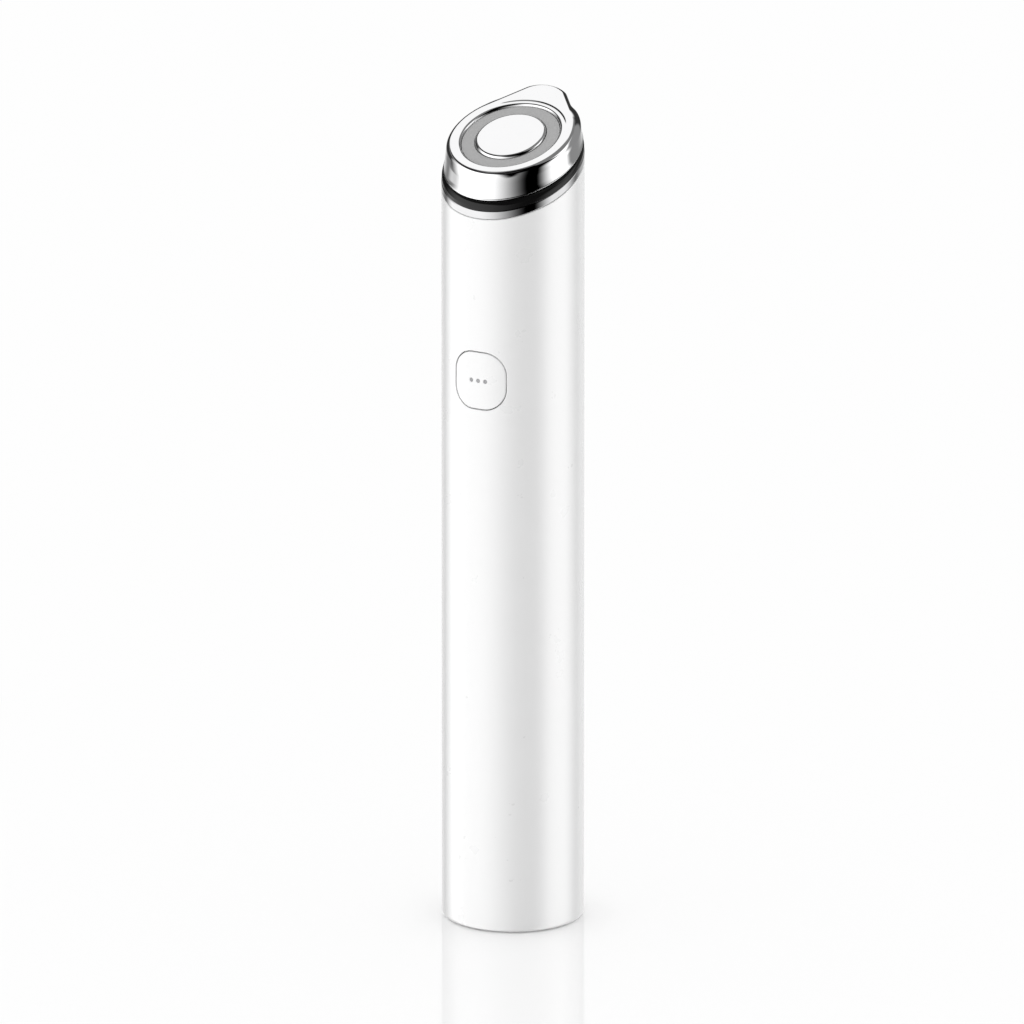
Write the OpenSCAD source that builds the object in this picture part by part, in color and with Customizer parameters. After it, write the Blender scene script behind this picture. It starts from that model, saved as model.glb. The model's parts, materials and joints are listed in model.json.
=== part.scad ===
// Microcurrent facial wand: a slim upright barrel with a slanted metal head,
// one press button on the front and a charging socket in the foot.
// The origin is on the barrel's axis, in the plane that the foot stands on.
// +Z is up, and the button faces -Y. The head rises towards +Y.

/* [Barrel] */
// Outside diameter of the barrel
barrel_d = 25; // [24:0.5:31]
// Wall thickness of the barrel
barrel_wall = 1.2; // [1:0.1:1.5]
// Height of the barrel's slanted rim on its axis
rim_h = 135.3; // [130:0.1:165]
// Slant of the rim and the head
tilt = 23.5; // [15:0.1:29]
// Rounding of the barrel's lower edge
lower_round = 0.8; // [0.4:0.1:1]
// How far the foot pad stands out below the barrel
foot_proud = 0.25; // [0.1:0.05:0.5]
// Width of the seam line under the collar
seam = 0.12; // [0.05:0.01:0.2]

/* [Collar and insulator] */
// Height of the chrome collar along the barrel
collar_h = 1.4; // [1:0.1:3]
// Length of the collar's spigot inside the barrel
spigot_h = 3; // [2:0.1:4]
// Height of the black insulator band along the barrel
band_h = 1.45; // [1.2:0.05:3]
// Step of the insulator band's top edge
band_step = 0.45; // [0.3:0.05:0.6]
// Dark gap between the insulator band and the metal head
head_gap = 0.25; // [0.2:0.05:0.6]

/* [Metal head] */
// Height of the metal head along the barrel, at its axis
head_h = 4.37; // [4.2:0.01:6]
// Step from the barrel's side in to the head's lower lip
lip_inset = 0.53; // [0.4:0.01:0.7]
// Step from the barrel's side in to the head's side wall
wall_inset = 0.8; // [0.7:0.01:1]
// Wall thickness of the metal head
head_wall = 1.3; // [1:0.1:1.5]
// Step from the barrel's side in to the round part of the face
face_inset = 1.45; // [1.2:0.01:1.8]
// Shift of the face's ring towards the button side
face_shift = 1.05; // [0.8:0.01:1.2]
// Shift of the face's round edge from the ring towards the tip
edge_shift = 0.3; // [0:0.05:0.5]
// Rounding radius of the face's pointed end
tip_r = 4.5; // [3:0.1:6]
// Rounded edge between the face and the side wall
edge_round = 0.3; // [0.2:0.05:0.4]

/* [Electrode face] */
// Radius of the grey light ring
ring_r = 8.75; // [7.2:0.05:8.9]
// Depth of the light ring below the face
ring_sink = 0.45; // [0.3:0.05:0.6]
// Thickness of the light ring
ring_t = 1.1; // [1:0.05:1.3]
// Width of the bevel round the light ring
bevel_w = 0.45; // [0.3:0.05:0.6]
// Thickness of the ledge that carries the light ring
ledge_t = 0.8; // [0.6:0.05:1]
// Width of the ledge that carries the light ring
ledge_w = 1.15; // [0.9:0.05:1.2]
// Width of the light ring that shows round the centre electrode
ring_w = 2.38; // [2.2:0.01:2.6]
// Rounded edge of the centre electrode
disc_round = 0.37; // [0.2:0.01:0.5]

/* [Button] */
// Height of the button's centre
button_z = 100.4; // [98:0.1:106]
// Width of the button opening, measured straight across
button_w = 10.2; // [9.5:0.1:12.5]
// Height of the button opening
button_h = 10.3; // [9.5:0.1:12.5]
// Corner radius of the button opening
button_corner = 4; // [3:0.1:4.5]
// Gap round the button
button_gap = 0.2; // [0.15:0.01:0.3]
// Travel of the button
button_travel = 0.4; // [0.3:0.05:0.5]
// Diameter of the indicator dots
dot_d = 0.75; // [0.6:0.05:1]
// Spacing of the indicator dots
dot_pitch = 1.38; // [1.2:0.01:1.6]

/* [Power and motor] */
// Diameter of the rechargeable cell
cell_d = 14; // [13:0.1:14.2]
// Length of the rechargeable cell
cell_l = 50; // [40:0.5:52]
// Diameter of the vibration motor
motor_d = 6; // [5:0.1:7]
// Length of the vibration motor
motor_l = 12; // [10:0.5:12]
// Thickness of the main circuit board
board_t = 1; // [0.8:0.1:1.2]

/* [Hidden] */
$fn = 96;
HULL_FN = 32;
WIRE_FN = 32;

// Clearances
part_fit = 0.1;      // between pieces that push together
slip_fit = 0.2;      // between the chassis and the barrel
pin_fit = 0.03;      // round small pins and screws
shaft_fit = 0.05;    // round the running motor shaft
press_gap = 0.05;    // between the button's post and the switch

// Lengths that only shape the solids
sink = 0.1;          // how far joined shapes run into each other
cut = 1;             // how far a cutting shape runs past what it cuts
far = 200;           // longer than the whole wand

// Barrel
barrel_r = barrel_d / 2;
inner_r = barrel_r - barrel_wall;
seam_depth = 0.3;

// Heights of the slanted planes on the barrel's axis
collar_top = rim_h + collar_h;
band_top = collar_top + band_h;
head_low = band_top + head_gap;
face_top = head_low + head_h;

// Collar and insulator, from the outside in
spigot_wall = 1;
plug_wall = 1.5;
band_inset = 0.05;
gasket_inset = 0.5;
spigot_r = inner_r - part_fit;
collar_bore_r = spigot_r - spigot_wall;
plug_r = collar_bore_r - part_fit;
plug_bore_r = plug_r - plug_wall;
plug_low = rim_h - spigot_h + 1;
band_r = barrel_r - band_inset;

// Metal head
lip_r = barrel_r - lip_inset;
lip_h = 0.25;
wall_r = barrel_r - wall_inset;
cavity_r = wall_r - head_wall;
neck_r = cavity_r - part_fit;
shoulder_drop = 1.75;
face_r = barrel_r - face_inset;
tip_proud = 0.05;
tip_reach = (barrel_r + face_shift) / cos(tilt) + tip_proud;

// Depths below the face, square to it
ledge_top = ring_sink + ring_t;
plate_t = ledge_top + ledge_t;
disc_t = 1.05;
led_h = 0.7;
led_gap = 0.05;
light_board_top = plate_t + led_h + led_gap;
light_board_t = 0.8;
floor_top = light_board_top + light_board_t;
floor_t = 1.2;
floor_low = floor_top + floor_t;
terminal_t = 0.3;
terminal_low = floor_low + pin_fit + terminal_t;
nut_t = 1.6;
nut_r = 2.89;
stud_end = 0.3;
neck_sink = 1.1;

// Radii of the stack on the face's axis
disc_gap = 0.08;
seat_w = 0.85;
bush_step = 1;
disc_r = ring_r - ring_w;
ring_in_r = disc_r + disc_gap;
window_r = ring_r - ledge_w;
disc_seat_r = ring_in_r - seat_w;
disc_neck_r = disc_seat_r - part_fit;
stud_r = 1.5;
light_board_r = ring_r + 0.15;
cup_r = light_board_r + part_fit;
led_ring_r = (disc_seat_r + window_r) / 2;
led_size = [1.4, 1.6, led_h];
contact_pin_r = 0.4;

// Chassis, a trough with three webs that slides into the barrel
chassis_r = inner_r - slip_fit;
chassis_wall = 0.8;
chassis_in_r = chassis_r - chassis_wall;
chassis_top = rim_h - spigot_h - inner_r * tan(tilt) - 1;
web_t = 3.6;
groove_d = 0.4;
board_lip = 0.8;

// Foot, from the ground up
pad_t = 0.8;
cap_disc_t = 2;
cap_disc_top = pad_t + cap_disc_t;
cap_top = cap_disc_top + 4.7;
cap_r = inner_r - part_fit;
cap_wall = 2.2;
cap_in_r = cap_r - cap_wall;
pad_inset = 0.3;
trough_low = cap_top + 0.3;
seal_z = (cap_disc_top + cap_top) / 2;
seal_wire_r = 0.55;
seal_squeeze = 0.04;
seal_groove = [1.1, 1.3];
foot_web_z = 10;
foot_web_t = 1.2;
foot_screw = [cap_in_r - 2.5, 3];
foot_post_r = 1.6;

// Cell and main board, placed from the back of the chassis
cell_r = cell_d / 2;
cell_y = chassis_in_r - cell_r - part_fit;
cell_z = foot_web_z + foot_web_t + slip_fit;
pad_gap = 0.7;
pad_size = [6, pad_gap + 0.4, cell_l - 20];
pad_low = 8;
cell_end = [1.2, 0.6];
board_back = cell_y - cell_r - pad_gap;
board_front = board_back - board_t;
board_z = foot_web_z + foot_web_t + pin_fit;
board_w = 2 * sqrt(pow(chassis_in_r + groove_d, 2) - pow(board_front, 2));
lip_front = board_front - board_lip;
cell_web_z = cell_z + cell_l + slip_fit;
head_web_z = chassis_top - web_t;

// Motor
motor_r = motor_d / 2;
motor_y = 3.5;
motor_z = cell_web_z + web_t + 3.8;
motor_web_t = 5;
motor_web_z = motor_z + (motor_l - motor_web_t) / 2;
motor_web_skin = 0.6;
sleeve_r = motor_r + 0.9;
sleeve_l = 8;
shaft_r = 0.5;
shaft_in = 1.9;
shaft_hole = 2;
hub_r = shaft_r + 0.6;
weight_gap = 0.4;
weight_r = motor_r - 0.1;
weight_h = 3.8;

// Switch and indicator lights behind the button
switch_w = 4.5;
switch_h = 3.5;
switch_z = button_z - 3;
switch_face = board_front - switch_h;
plunger_r = 1.2;
plunger_out = 2 * button_travel;
plunger_in = 1.5;
plunger_hole = plunger_in + button_travel + 0.3;
plunger_tip = switch_face - plunger_out;
flange_t = 0.8;
flange_w = 0.8;
flange_gap = 0.05;
button_back_r = inner_r - flange_gap - flange_t;
post_sink = 0.2;
dot_fit = 0.02;

// Charging socket
port_w = 8.94;
port_t = 3.16;
port_l = 7.35;
port_z = 1;
port_wall = 0.3;
port_round = 0.1;
port_play = 0.15;
block_l = 1.2;
block_play = 0.02;
tongue = [6.7, 0.7, 0.9];
charge_board_w = 12;
charge_board_t = 0.8;
charge_board_front = -port_t / 2 - charge_board_t;
charge_board_low = cap_disc_top + 0.2;
charge_board_top = foot_web_z + 0.4;

// Screws, with the head screws on each side of the stack
screw_r = 0.85;
screw_head = [1.6, 1.15];
screw_seat = [1.7, 1.2];
pilot_end = 0.5;
head_post = [6.2, 3];
head_post_r = 2.2;
head_screw_l = 8.8;
base_screw_l = 6;
board_screw_r = 0.7;
board_screw_l = board_t + 4;
board_screw_head = [1.4, 0.9];
board_screw_z = [cell_web_z + web_t / 2, head_web_z + web_t / 2];

// Leads, with how far each stands from the middle
lead_r = 0.4;
light_lead = [4.2, -1];
lead_end_x = 3.2;
lead_run = [2, 2 * lead_r + 1];
cell_lead_x = 2.2;
charge_lead_x = 5;
charge_lead_y = min(board_back + 0.9, charge_board_front - 1.2);
charge_end_y = charge_lead_y > board_back ? board_back : board_front;
charge_pad_x = 3.5;
motor_lead_x = 1;
motor_lead_r = 0.35;
terminal_r = 2.9;
tab_w = 1.6;
tab_end = 0.5;
tab_turn = -25;
nut_lead = light_lead.x * [cos(tab_turn), sin(tab_turn)];

// A point x across, v up the slope and s below the face
function face_point(x, v, s) = [
    x,
    -face_shift + v * cos(tilt) + s * sin(tilt),
    face_top - face_shift * tan(tilt) + v * sin(tilt) - s * cos(tilt)
];

// Height on the axis of the slanted plane at depth s below the face
function depth_z(s) = face_top - s / cos(tilt);

// Moves its children to the face's axis, at depth s, with +Z square to the face
module on_face(s) {
    translate(face_point(0, 0, s)) rotate([tilt, 0, 0]) children();
}

// Turns its children so that +Z becomes +Y, into the wand from its front
module inwards() {
    rotate([-90, 0, 0]) children();
}

// Everything between two slanted planes, by their heights on the axis
module slanted_slab(low, high) {
    translate([0, 0, low]) rotate([tilt, 0, 0])
        translate([-far, -far, 0]) cube([2 * far, 2 * far, (high - low) * cos(tilt)]);
}

// An upright disc cut by two slanted planes
module slanted_disc(r, low, high) {
    intersection() {
        translate([0, 0, low - barrel_d]) cylinder(r = r, h = high - low + 2 * barrel_d);
        slanted_slab(low, high);
    }
}

// An upright hole of height h, cut past both its ends
module drill(r, h) {
    translate([0, 0, -cut]) cylinder(r = r, h = h + 2 * cut);
}

// A rectangle with round corners
module round_rect(w, h, r) {
    square([w - 2 * r, h], center = true);
    square([w, h - 2 * r], center = true);
    for (x = [-1, 1], y = [-1, 1])
        translate([x * (w / 2 - r), y * (h / 2 - r)]) circle(r);
}

// A half disc of radius r, cut away at a round edge's corner
module edge_cut(r) {
    difference() {
        square(r + cut);
        circle(r);
    }
}

// The button's outline, grown all round, as a bar that runs in from the front
module button_bar(grow, depth) {
    translate([0, -barrel_r - cut, button_z]) inwards() linear_extrude(depth + cut)
        round_rect(button_w + 2 * grow, button_h + 2 * grow, button_corner + grow);
}

// The wall between two upright cylinders
module upright_ring(in_r, out_r) {
    difference() {
        cylinder(r = out_r, h = far);
        drill(in_r, far);
    }
}

// The face's teardrop outline, grown all round
module teardrop(grow) {
    hull() {
        translate([0, edge_shift]) circle(face_r + grow, $fn = HULL_FN);
        translate([0, tip_reach - tip_r]) circle(tip_r + grow, $fn = HULL_FN);
    }
}

// A round wire that follows a list of points
module wire(points, r) {
    bend = 1.04;
    for (i = [0 : len(points) - 2]) {
        span = points[i + 1] - points[i];
        length = norm(span);
        translate(points[i])
            rotate([0, acos(span.z / length), atan2(span.y, span.x)])
                cylinder(r = r, h = length, $fn = WIRE_FN);
    }
    for (i = [1 : len(points) - 2]) translate(points[i]) sphere(bend * r, $fn = WIRE_FN);
}

// A screw whose head lies under z = 0 and whose shank points up
module screw(head, shank_r, shank_l) {
    drive_r = 0.45 * head[0];
    drive_depth = 0.5 * head[1];
    translate([0, 0, -head[1]]) difference() {
        cylinder(r = head[0], h = head[1]);
        translate([0, 0, -cut]) cylinder(r = drive_r, h = drive_depth + cut, $fn = 6);
    }
    cylinder(r = shank_r, h = shank_l);
}

// Its children at a point given for one side, and again on the other side
module both_sides(x, y, z) {
    for (side = [-1, 1]) translate([side * x, y, z]) children();
}

// White barrel with a slanted rim, an opening for the button and a rounded foot edge
module body_tube() {
    color("white") difference() {
        intersection() {
            rotate_extrude() difference() {
                translate([inner_r, foot_proud]) square([barrel_wall, rim_h + barrel_d]);
                translate([barrel_r - lower_round, foot_proud + lower_round])
                    mirror([0, 1]) edge_cut(lower_round);
            }
            slanted_slab(rim_h - far, rim_h);
        }
        button_bar(0, barrel_r);
        difference() {
            slanted_disc(barrel_r + cut, rim_h - seam, rim_h + cut);
            cylinder(r = barrel_r - seam_depth, h = far);
        }
    }
}

// Chrome collar that plugs into the barrel's rim
module collar_ring() {
    color("silver") difference() {
        union() {
            slanted_disc(barrel_r, rim_h, collar_top);
            slanted_disc(spigot_r, rim_h - spigot_h, rim_h + sink);
        }
        cylinder(r = collar_bore_r, h = far);
    }
}

// Black insulator: outer band, neck inside the head, cup for the light board and plug
module insulator_ring() {
    color([0.03, 0.03, 0.03]) difference() {
        union() {
            difference() {
                union() {
                    slanted_disc(band_r, collar_top, band_top - band_step);
                    slanted_disc(band_r - band_step, collar_top, band_top);
                    slanted_disc(neck_r, collar_top, depth_z(plate_t + part_fit));
                    slanted_disc(plug_r, plug_low, collar_top + sink);
                }
                intersection() {
                    cylinder(r = plug_bore_r, h = far);
                    slanted_slab(plug_low - barrel_d, depth_z(floor_low));
                }
            }
            intersection() {
                slanted_slab(rim_h - far, depth_z(floor_top + floor_t / 2));
                both_sides(head_post.x, head_post.y, chassis_top) cylinder(r = head_post_r, h = far);
            }
        }
        on_face(floor_top) cylinder(r = cup_r, h = barrel_r);
        on_face(floor_low) drill(stud_r + part_fit, floor_t);
        lead_hole();
        both_sides(head_post.x, head_post.y, chassis_top - cut)
            cylinder(r = screw_r + pin_fit, h = head_screw_l - web_t + pilot_end + cut);
    }
}

// Hole in the insulator's floor for the light board's lead
module lead_hole() {
    translate(face_point(-light_lead.x, light_lead.y, floor_low)) rotate([tilt, 0, 0])
        drill(lead_r + part_fit, floor_t);
}

// Dark soft gasket in the gap under the metal head
module head_gasket() {
    color([0.05, 0.05, 0.05]) difference() {
        slanted_disc(band_r - band_step - gasket_inset, band_top, head_low);
        cylinder(r = neck_r + pin_fit, h = far);
    }
}

// Polished metal head: slanted teardrop face, rounded shoulder, side wall and lower lip
module outer_electrode() {
    slice = 0.1;
    seat_r = ring_r + pin_fit;
    color("silver") difference() {
        union() {
            slanted_disc(lip_r, head_low, head_low + lip_h + sink);
            hull() {
                slanted_disc(wall_r, head_low + lip_h, face_top - shoulder_drop, $fn = HULL_FN);
                on_face(edge_round) linear_extrude(slice) teardrop(edge_round);
                on_face(slice) linear_extrude(slice) teardrop(0);
            }
        }
        intersection() {
            cylinder(r = cavity_r, h = far);
            slanted_slab(rim_h - far, depth_z(plate_t));
        }
        on_face(0) rotate_extrude() polygon([
            [0, ring_sink],
            [seat_r + 2 * bevel_w, ring_sink],
            [seat_r, -ring_sink],
            [seat_r, -ledge_top],
            [window_r, -ledge_top],
            [window_r, -plate_t - cut],
            [0, -plate_t - cut]
        ]);
    }
}

// Frosted grey ring that carries the centre electrode and spreads the ring of light
module light_ring() {
    color("gray") on_face(0) rotate_extrude() polygon([
        [disc_seat_r, -ledge_top],
        [ring_r, -ledge_top],
        [ring_r, -ring_sink],
        [ring_in_r, -ring_sink],
        [ring_in_r, -disc_t],
        [disc_seat_r, -disc_t]
    ]);
}

// Polished centre electrode with its stud
module centre_electrode() {
    stud_low = terminal_low + nut_t + stud_end;
    neck_low = light_board_top - neck_sink;
    color("silver") on_face(0) rotate_extrude() difference() {
        polygon([
            [0, 0],
            [disc_r, 0],
            [disc_r, -disc_t],
            [disc_neck_r, -disc_t],
            [disc_neck_r, -neck_low],
            [stud_r, -neck_low],
            [stud_r, -stud_low],
            [0, -stud_low]
        ]);
        translate([disc_r - disc_round, -disc_round]) edge_cut(disc_round);
    }
}

// Insulating spacer between the centre electrode and the light board
module electrode_bush() {
    color("ivory") on_face(light_board_top) difference() {
        cylinder(r = disc_neck_r - bush_step, h = neck_sink - pin_fit);
        drill(stud_r + part_fit, neck_sink);
    }
}

// Round circuit board of the head
module light_board() {
    color("darkgreen") on_face(floor_top) difference() {
        cylinder(r = light_board_r, h = light_board_t);
        drill(stud_r + part_fit, light_board_t);
    }
}

// Six small lights under the light ring
module ring_leds() {
    color("lightyellow") on_face(light_board_top) for (i = [0 : 5])
        rotate(60 * i) translate([led_ring_r - led_size.x / 2, -led_size.y / 2, 0]) cube(led_size);
}

// Three spring pins that carry current to the metal head
module contact_pins() {
    color("gold") on_face(light_board_top) for (i = [0 : 2])
        rotate(90 + 120 * i) translate([(ring_r + window_r) / 2, 0, 0])
            cylinder(r = contact_pin_r, h = light_board_top - plate_t - pin_fit, $fn = WIRE_FN);
}

// Ring terminal under the nut, with a tab for its lead
module electrode_terminal() {
    color("gold") on_face(terminal_low) difference() {
        union() {
            cylinder(r = terminal_r, h = terminal_t);
            rotate(tab_turn) translate([0, -tab_w / 2, 0])
                cube([light_lead.x + tab_end, tab_w, terminal_t]);
        }
        drill(stud_r + pin_fit, terminal_t);
    }
}

// Six-sided nut that clamps the whole head together
module electrode_nut() {
    color("silver") on_face(terminal_low + nut_t) difference() {
        cylinder(r = nut_r, h = nut_t, $fn = 6);
        drill(stud_r + pin_fit, nut_t);
    }
}

// Leads from the light board and the terminal down to the main board
module electrode_leads() {
    run_y = board_back + lead_r + 0.6;
    low = head_web_z - 2.5;
    high = chassis_top + 2.5;
    color("firebrick") wire([
        face_point(-light_lead.x, light_lead.y, floor_top),
        face_point(-light_lead.x, light_lead.y, floor_low + 1.2),
        [-lead_end_x, run_y, high],
        [-lead_end_x, run_y, low],
        [-lead_end_x, board_back, low]
    ], lead_r);
    color("black") wire([
        face_point(nut_lead.x, nut_lead.y, terminal_low),
        face_point(nut_lead.x, nut_lead.y, terminal_low + 3 * terminal_t),
        [lead_end_x, run_y, high],
        [lead_end_x, run_y, low],
        [lead_end_x, board_back, low]
    ], lead_r);
}

// A web of the chassis: a slice of the trough's inside, from front_y back
module web(z, t, front_y) {
    intersection() {
        translate([0, 0, z]) cylinder(r = chassis_in_r + sink, h = t);
        translate([-barrel_d, front_y, z]) cube([2 * barrel_d, 2 * barrel_d, t]);
    }
}

// Inner frame: an open trough with webs for the cell, the motor, the board and the screws
module chassis() {
    slot_w = charge_board_w + 2 * part_fit;
    pilot_r = screw_r + pin_fit;
    color("gainsboro") difference() {
        union() {
            difference() {
                translate([0, 0, trough_low]) cylinder(r = chassis_r, h = chassis_top - trough_low);
                drill(chassis_in_r, far);
                translate([-barrel_d, lip_front - 2 * barrel_d, 0]) cube([2 * barrel_d, 2 * barrel_d, far]);
            }
            web(foot_web_z, foot_web_t, lip_front);
            web(cell_web_z, web_t, board_back);
            web(motor_web_z, motor_web_t, motor_y - sleeve_r - motor_web_skin);
            web(head_web_z, web_t, board_back);
            both_sides(foot_screw.x, foot_screw.y, cap_disc_top)
                cylinder(r = foot_post_r, h = foot_web_z - cap_disc_top + sink);
        }
        translate([-board_w / 2 - part_fit, board_front - part_fit, foot_web_z + foot_web_t])
            cube([board_w + 2 * part_fit, board_t + part_fit, far]);
        translate([-slot_w / 2, charge_board_front - part_fit, foot_web_z - cut])
            cube([slot_w, charge_board_t + 2 * part_fit, charge_board_top - foot_web_z + part_fit + cut]);
        both_sides(foot_screw.x, foot_screw.y, pad_t + screw_seat[1])
            cylinder(r = pilot_r, h = base_screw_l + pilot_end);
        both_sides(head_post.x, head_post.y, head_web_z) drill(screw_r + part_fit, web_t);
        both_sides(charge_lead_x, charge_lead_y, foot_web_z) drill(lead_r + part_fit, foot_web_t);
        both_sides(cell_lead_x, cell_y, cell_web_z) drill(lead_r + part_fit, web_t);
        both_sides(lead_end_x, board_back - cut, head_web_z - cut)
            translate([-lead_run.x / 2, 0, 0]) cube([lead_run.x, lead_run.y + cut, web_t + 2 * cut]);
        for (z = board_screw_z) translate([0, board_back - cut, z]) inwards()
            cylinder(r = board_screw_r + pin_fit, h = board_screw_l - board_t + pilot_end + cut);
        translate([0, motor_y, motor_z]) cylinder(r = sleeve_r + pin_fit, h = motor_l);
    }
}

// Two screws that join the chassis to the head
module head_screws() {
    color("dimgray") both_sides(head_post.x, head_post.y, head_web_z)
        screw(screw_head, screw_r, head_screw_l);
}

// Main circuit board, upright behind the button
module main_board() {
    color("darkgreen") difference() {
        translate([-board_w / 2, board_front, board_z]) cube([board_w, board_t, chassis_top - board_z]);
        for (z = board_screw_z)
            translate([0, board_front, z]) inwards() drill(board_screw_r + part_fit, board_t);
    }
}

// Two screws that hold the main board to the chassis
module board_screws() {
    color("dimgray") for (z = board_screw_z)
        translate([0, board_front, z]) inwards() screw(board_screw_head, board_screw_r, board_screw_l);
}

// A chip on the front of the main board
module chip(x, z, w, h, t) {
    translate([x - w / 2, board_front - t, z - h / 2]) cube([w, t, h]);
}

// Chips of the main board
module board_chips() {
    color([0.12, 0.12, 0.12]) {
        chip(0, cell_z + 11, 4, 4, 0.8);
        chip(-3.5, cell_z + 22, 3, 1.6, 1);
        chip(0, motor_z + 14, 5, 5, 0.9);
        chip(3.5, button_z + 9, 2, 3, 0.9);
        chip(-2, head_web_z - 6.5, 5, 6.2, 1.4);
    }
}

// Coil that raises the cell's voltage for the pulses
module boost_inductor() {
    size = 6;
    height = 2.8;
    well = 0.4;
    color("dimgray") translate([0, board_back, motor_z + 4 * size]) inwards() difference() {
        linear_extrude(height) round_rect(size, size, size / 6);
        translate([0, 0, height - well]) cylinder(r = size / 3, h = well + cut);
    }
}

// Three small lights behind the button's dots
module indicator_leds() {
    size = 0.9;
    color("lightyellow") for (i = [-1 : 1]) chip(i * dot_pitch, button_z + 0.1, size, size, 0.6);
}

// Body of the push switch
module switch_body() {
    color([0.15, 0.15, 0.15]) difference() {
        translate([-switch_w / 2, switch_face, switch_z - switch_w / 2])
            cube([switch_w, switch_h, switch_w]);
        translate([0, switch_face - cut, switch_z]) inwards()
            cylinder(r = plunger_r + shaft_fit, h = plunger_hole + cut);
    }
}

// Moving plunger of the push switch
module switch_plunger() {
    color("ivory") translate([0, plunger_tip, switch_z]) inwards()
        cylinder(r = plunger_r, h = plunger_out + plunger_in);
}

// White press button, flush with the barrel, with a flange behind the wall and a post
module button_cap() {
    post_l = button_back_r + post_sink + plunger_tip - press_gap;
    color("white") difference() {
        union() {
            intersection() {
                button_bar(-button_gap, barrel_r);
                upright_ring(button_back_r, barrel_r);
            }
            intersection() {
                button_bar(flange_w, barrel_r);
                upright_ring(button_back_r, button_back_r + flange_t);
            }
            translate([0, -button_back_r - post_sink, switch_z]) inwards()
                cylinder(r = plunger_r, h = post_l);
        }
        for (i = [-1 : 1]) dot_bar(i, dot_d / 2 + dot_fit);
    }
}

// A thin bar through the button at one of its dots
module dot_bar(i, r) {
    translate([i * dot_pitch, -barrel_r, button_z]) inwards() drill(r, barrel_r - button_back_r);
}

// Three grey light guides that show as dots on the button
module indicator_windows() {
    color("gray") intersection() {
        for (i = [-1 : 1]) dot_bar(i, dot_d / 2);
        upright_ring(button_back_r, barrel_r);
    }
}

// Rechargeable cell with its raised end
module battery_cell() {
    color("steelblue") translate([0, cell_y, cell_z]) {
        cylinder(r = cell_r, h = cell_l - cell_end[1]);
        cylinder(r = cell_r - cell_end[0], h = cell_l);
    }
}

// Foam strip between the cell and the main board
module battery_pad() {
    color("darkslategray") difference() {
        translate([-pad_size.x / 2, board_back, cell_z + pad_low]) cube(pad_size);
        translate([0, cell_y, cell_z]) cylinder(r = cell_r + pin_fit, h = cell_l);
    }
}

// Leads from the cell to the main board
module battery_leads() {
    high = cell_web_z + web_t + 1.2;
    for (side = [-1, 1])
        color(side < 0 ? "black" : "firebrick") wire([
            [side * cell_lead_x, cell_y, cell_z + cell_l],
            [side * cell_lead_x, cell_y, high],
            [side * cell_lead_x, board_back, high]
        ], lead_r);
}

// Case of the vibration motor
module motor_can() {
    color("silver") translate([0, motor_y, motor_z]) difference() {
        cylinder(r = motor_r, h = motor_l);
        translate([0, 0, motor_l - shaft_hole]) cylinder(r = shaft_r + shaft_fit, h = shaft_hole + cut);
    }
}

// Soft sleeve that holds the motor in its web
module motor_sleeve() {
    color([0.1, 0.1, 0.1]) translate([0, motor_y, motor_z + (motor_l - sleeve_l) / 2]) difference() {
        cylinder(r = sleeve_r, h = sleeve_l);
        drill(motor_r + pin_fit, sleeve_l);
    }
}

// Leads from the motor to the main board
module motor_leads() {
    low = motor_z - 1.2;
    for (side = [-1, 1])
        color(side < 0 ? "black" : "royalblue") wire([
            [side * motor_lead_x, motor_y, motor_z],
            [side * motor_lead_x, motor_y, low],
            [side * motor_lead_x, board_back, low]
        ], motor_lead_r);
}

// Turning shaft of the vibration motor
module motor_shaft() {
    color("silver") translate([0, motor_y, motor_z + motor_l - shaft_in])
        cylinder(r = shaft_r, h = shaft_in + weight_gap + weight_h);
}

// Half-moon weight that makes the motor shake
module eccentric_weight() {
    color("gray") translate([0, motor_y, motor_z + motor_l + weight_gap]) difference() {
        union() {
            intersection() {
                cylinder(r = weight_r, h = weight_h);
                translate([-barrel_r, 0, 0]) cube([barrel_d, barrel_d, weight_h]);
            }
            cylinder(r = hub_r, h = weight_h);
        }
        drill(shaft_r + pin_fit / 3, weight_h);
    }
}

// Small board that carries the charging socket
module charge_board() {
    color("darkgreen") translate([-charge_board_w / 2, charge_board_front, charge_board_low])
        cube([charge_board_w, charge_board_t, charge_board_top - charge_board_low]);
}

// Leads from the charging socket's board to the main board
module charge_leads() {
    low = cap_top + 0.7;
    high = board_z + 5;
    for (side = [-1, 1])
        color(side < 0 ? "black" : "firebrick") wire([
            [side * charge_pad_x, charge_board_front, low],
            [side * charge_pad_x, charge_lead_y, low],
            [side * charge_lead_x, charge_lead_y, low + 0.8],
            [side * charge_lead_x, charge_lead_y, high],
            [side * charge_lead_x, charge_end_y, high]
        ], lead_r);
}

// Outline of the charging socket, grown or shrunk all round
module port_outline(grow) {
    t = port_t + 2 * grow;
    round_rect(port_w + 2 * grow, t, t / 2 - port_round);
}

// Metal shell of the charging socket
module usb_shell() {
    color("silver") translate([0, 0, port_z]) linear_extrude(port_l) difference() {
        port_outline(0);
        port_outline(-port_wall);
    }
}

// Contact tongue of the charging socket and the block that holds it
module usb_tongue() {
    color([0.1, 0.1, 0.1]) {
        translate([-tongue.x / 2, -tongue.y / 2, port_z + tongue.z])
            cube([tongue.x, tongue.y, port_l - block_l - tongue.z + sink]);
        translate([0, 0, port_z + port_l - block_l]) linear_extrude(block_l)
            port_outline(-port_wall - block_play);
    }
}

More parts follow.
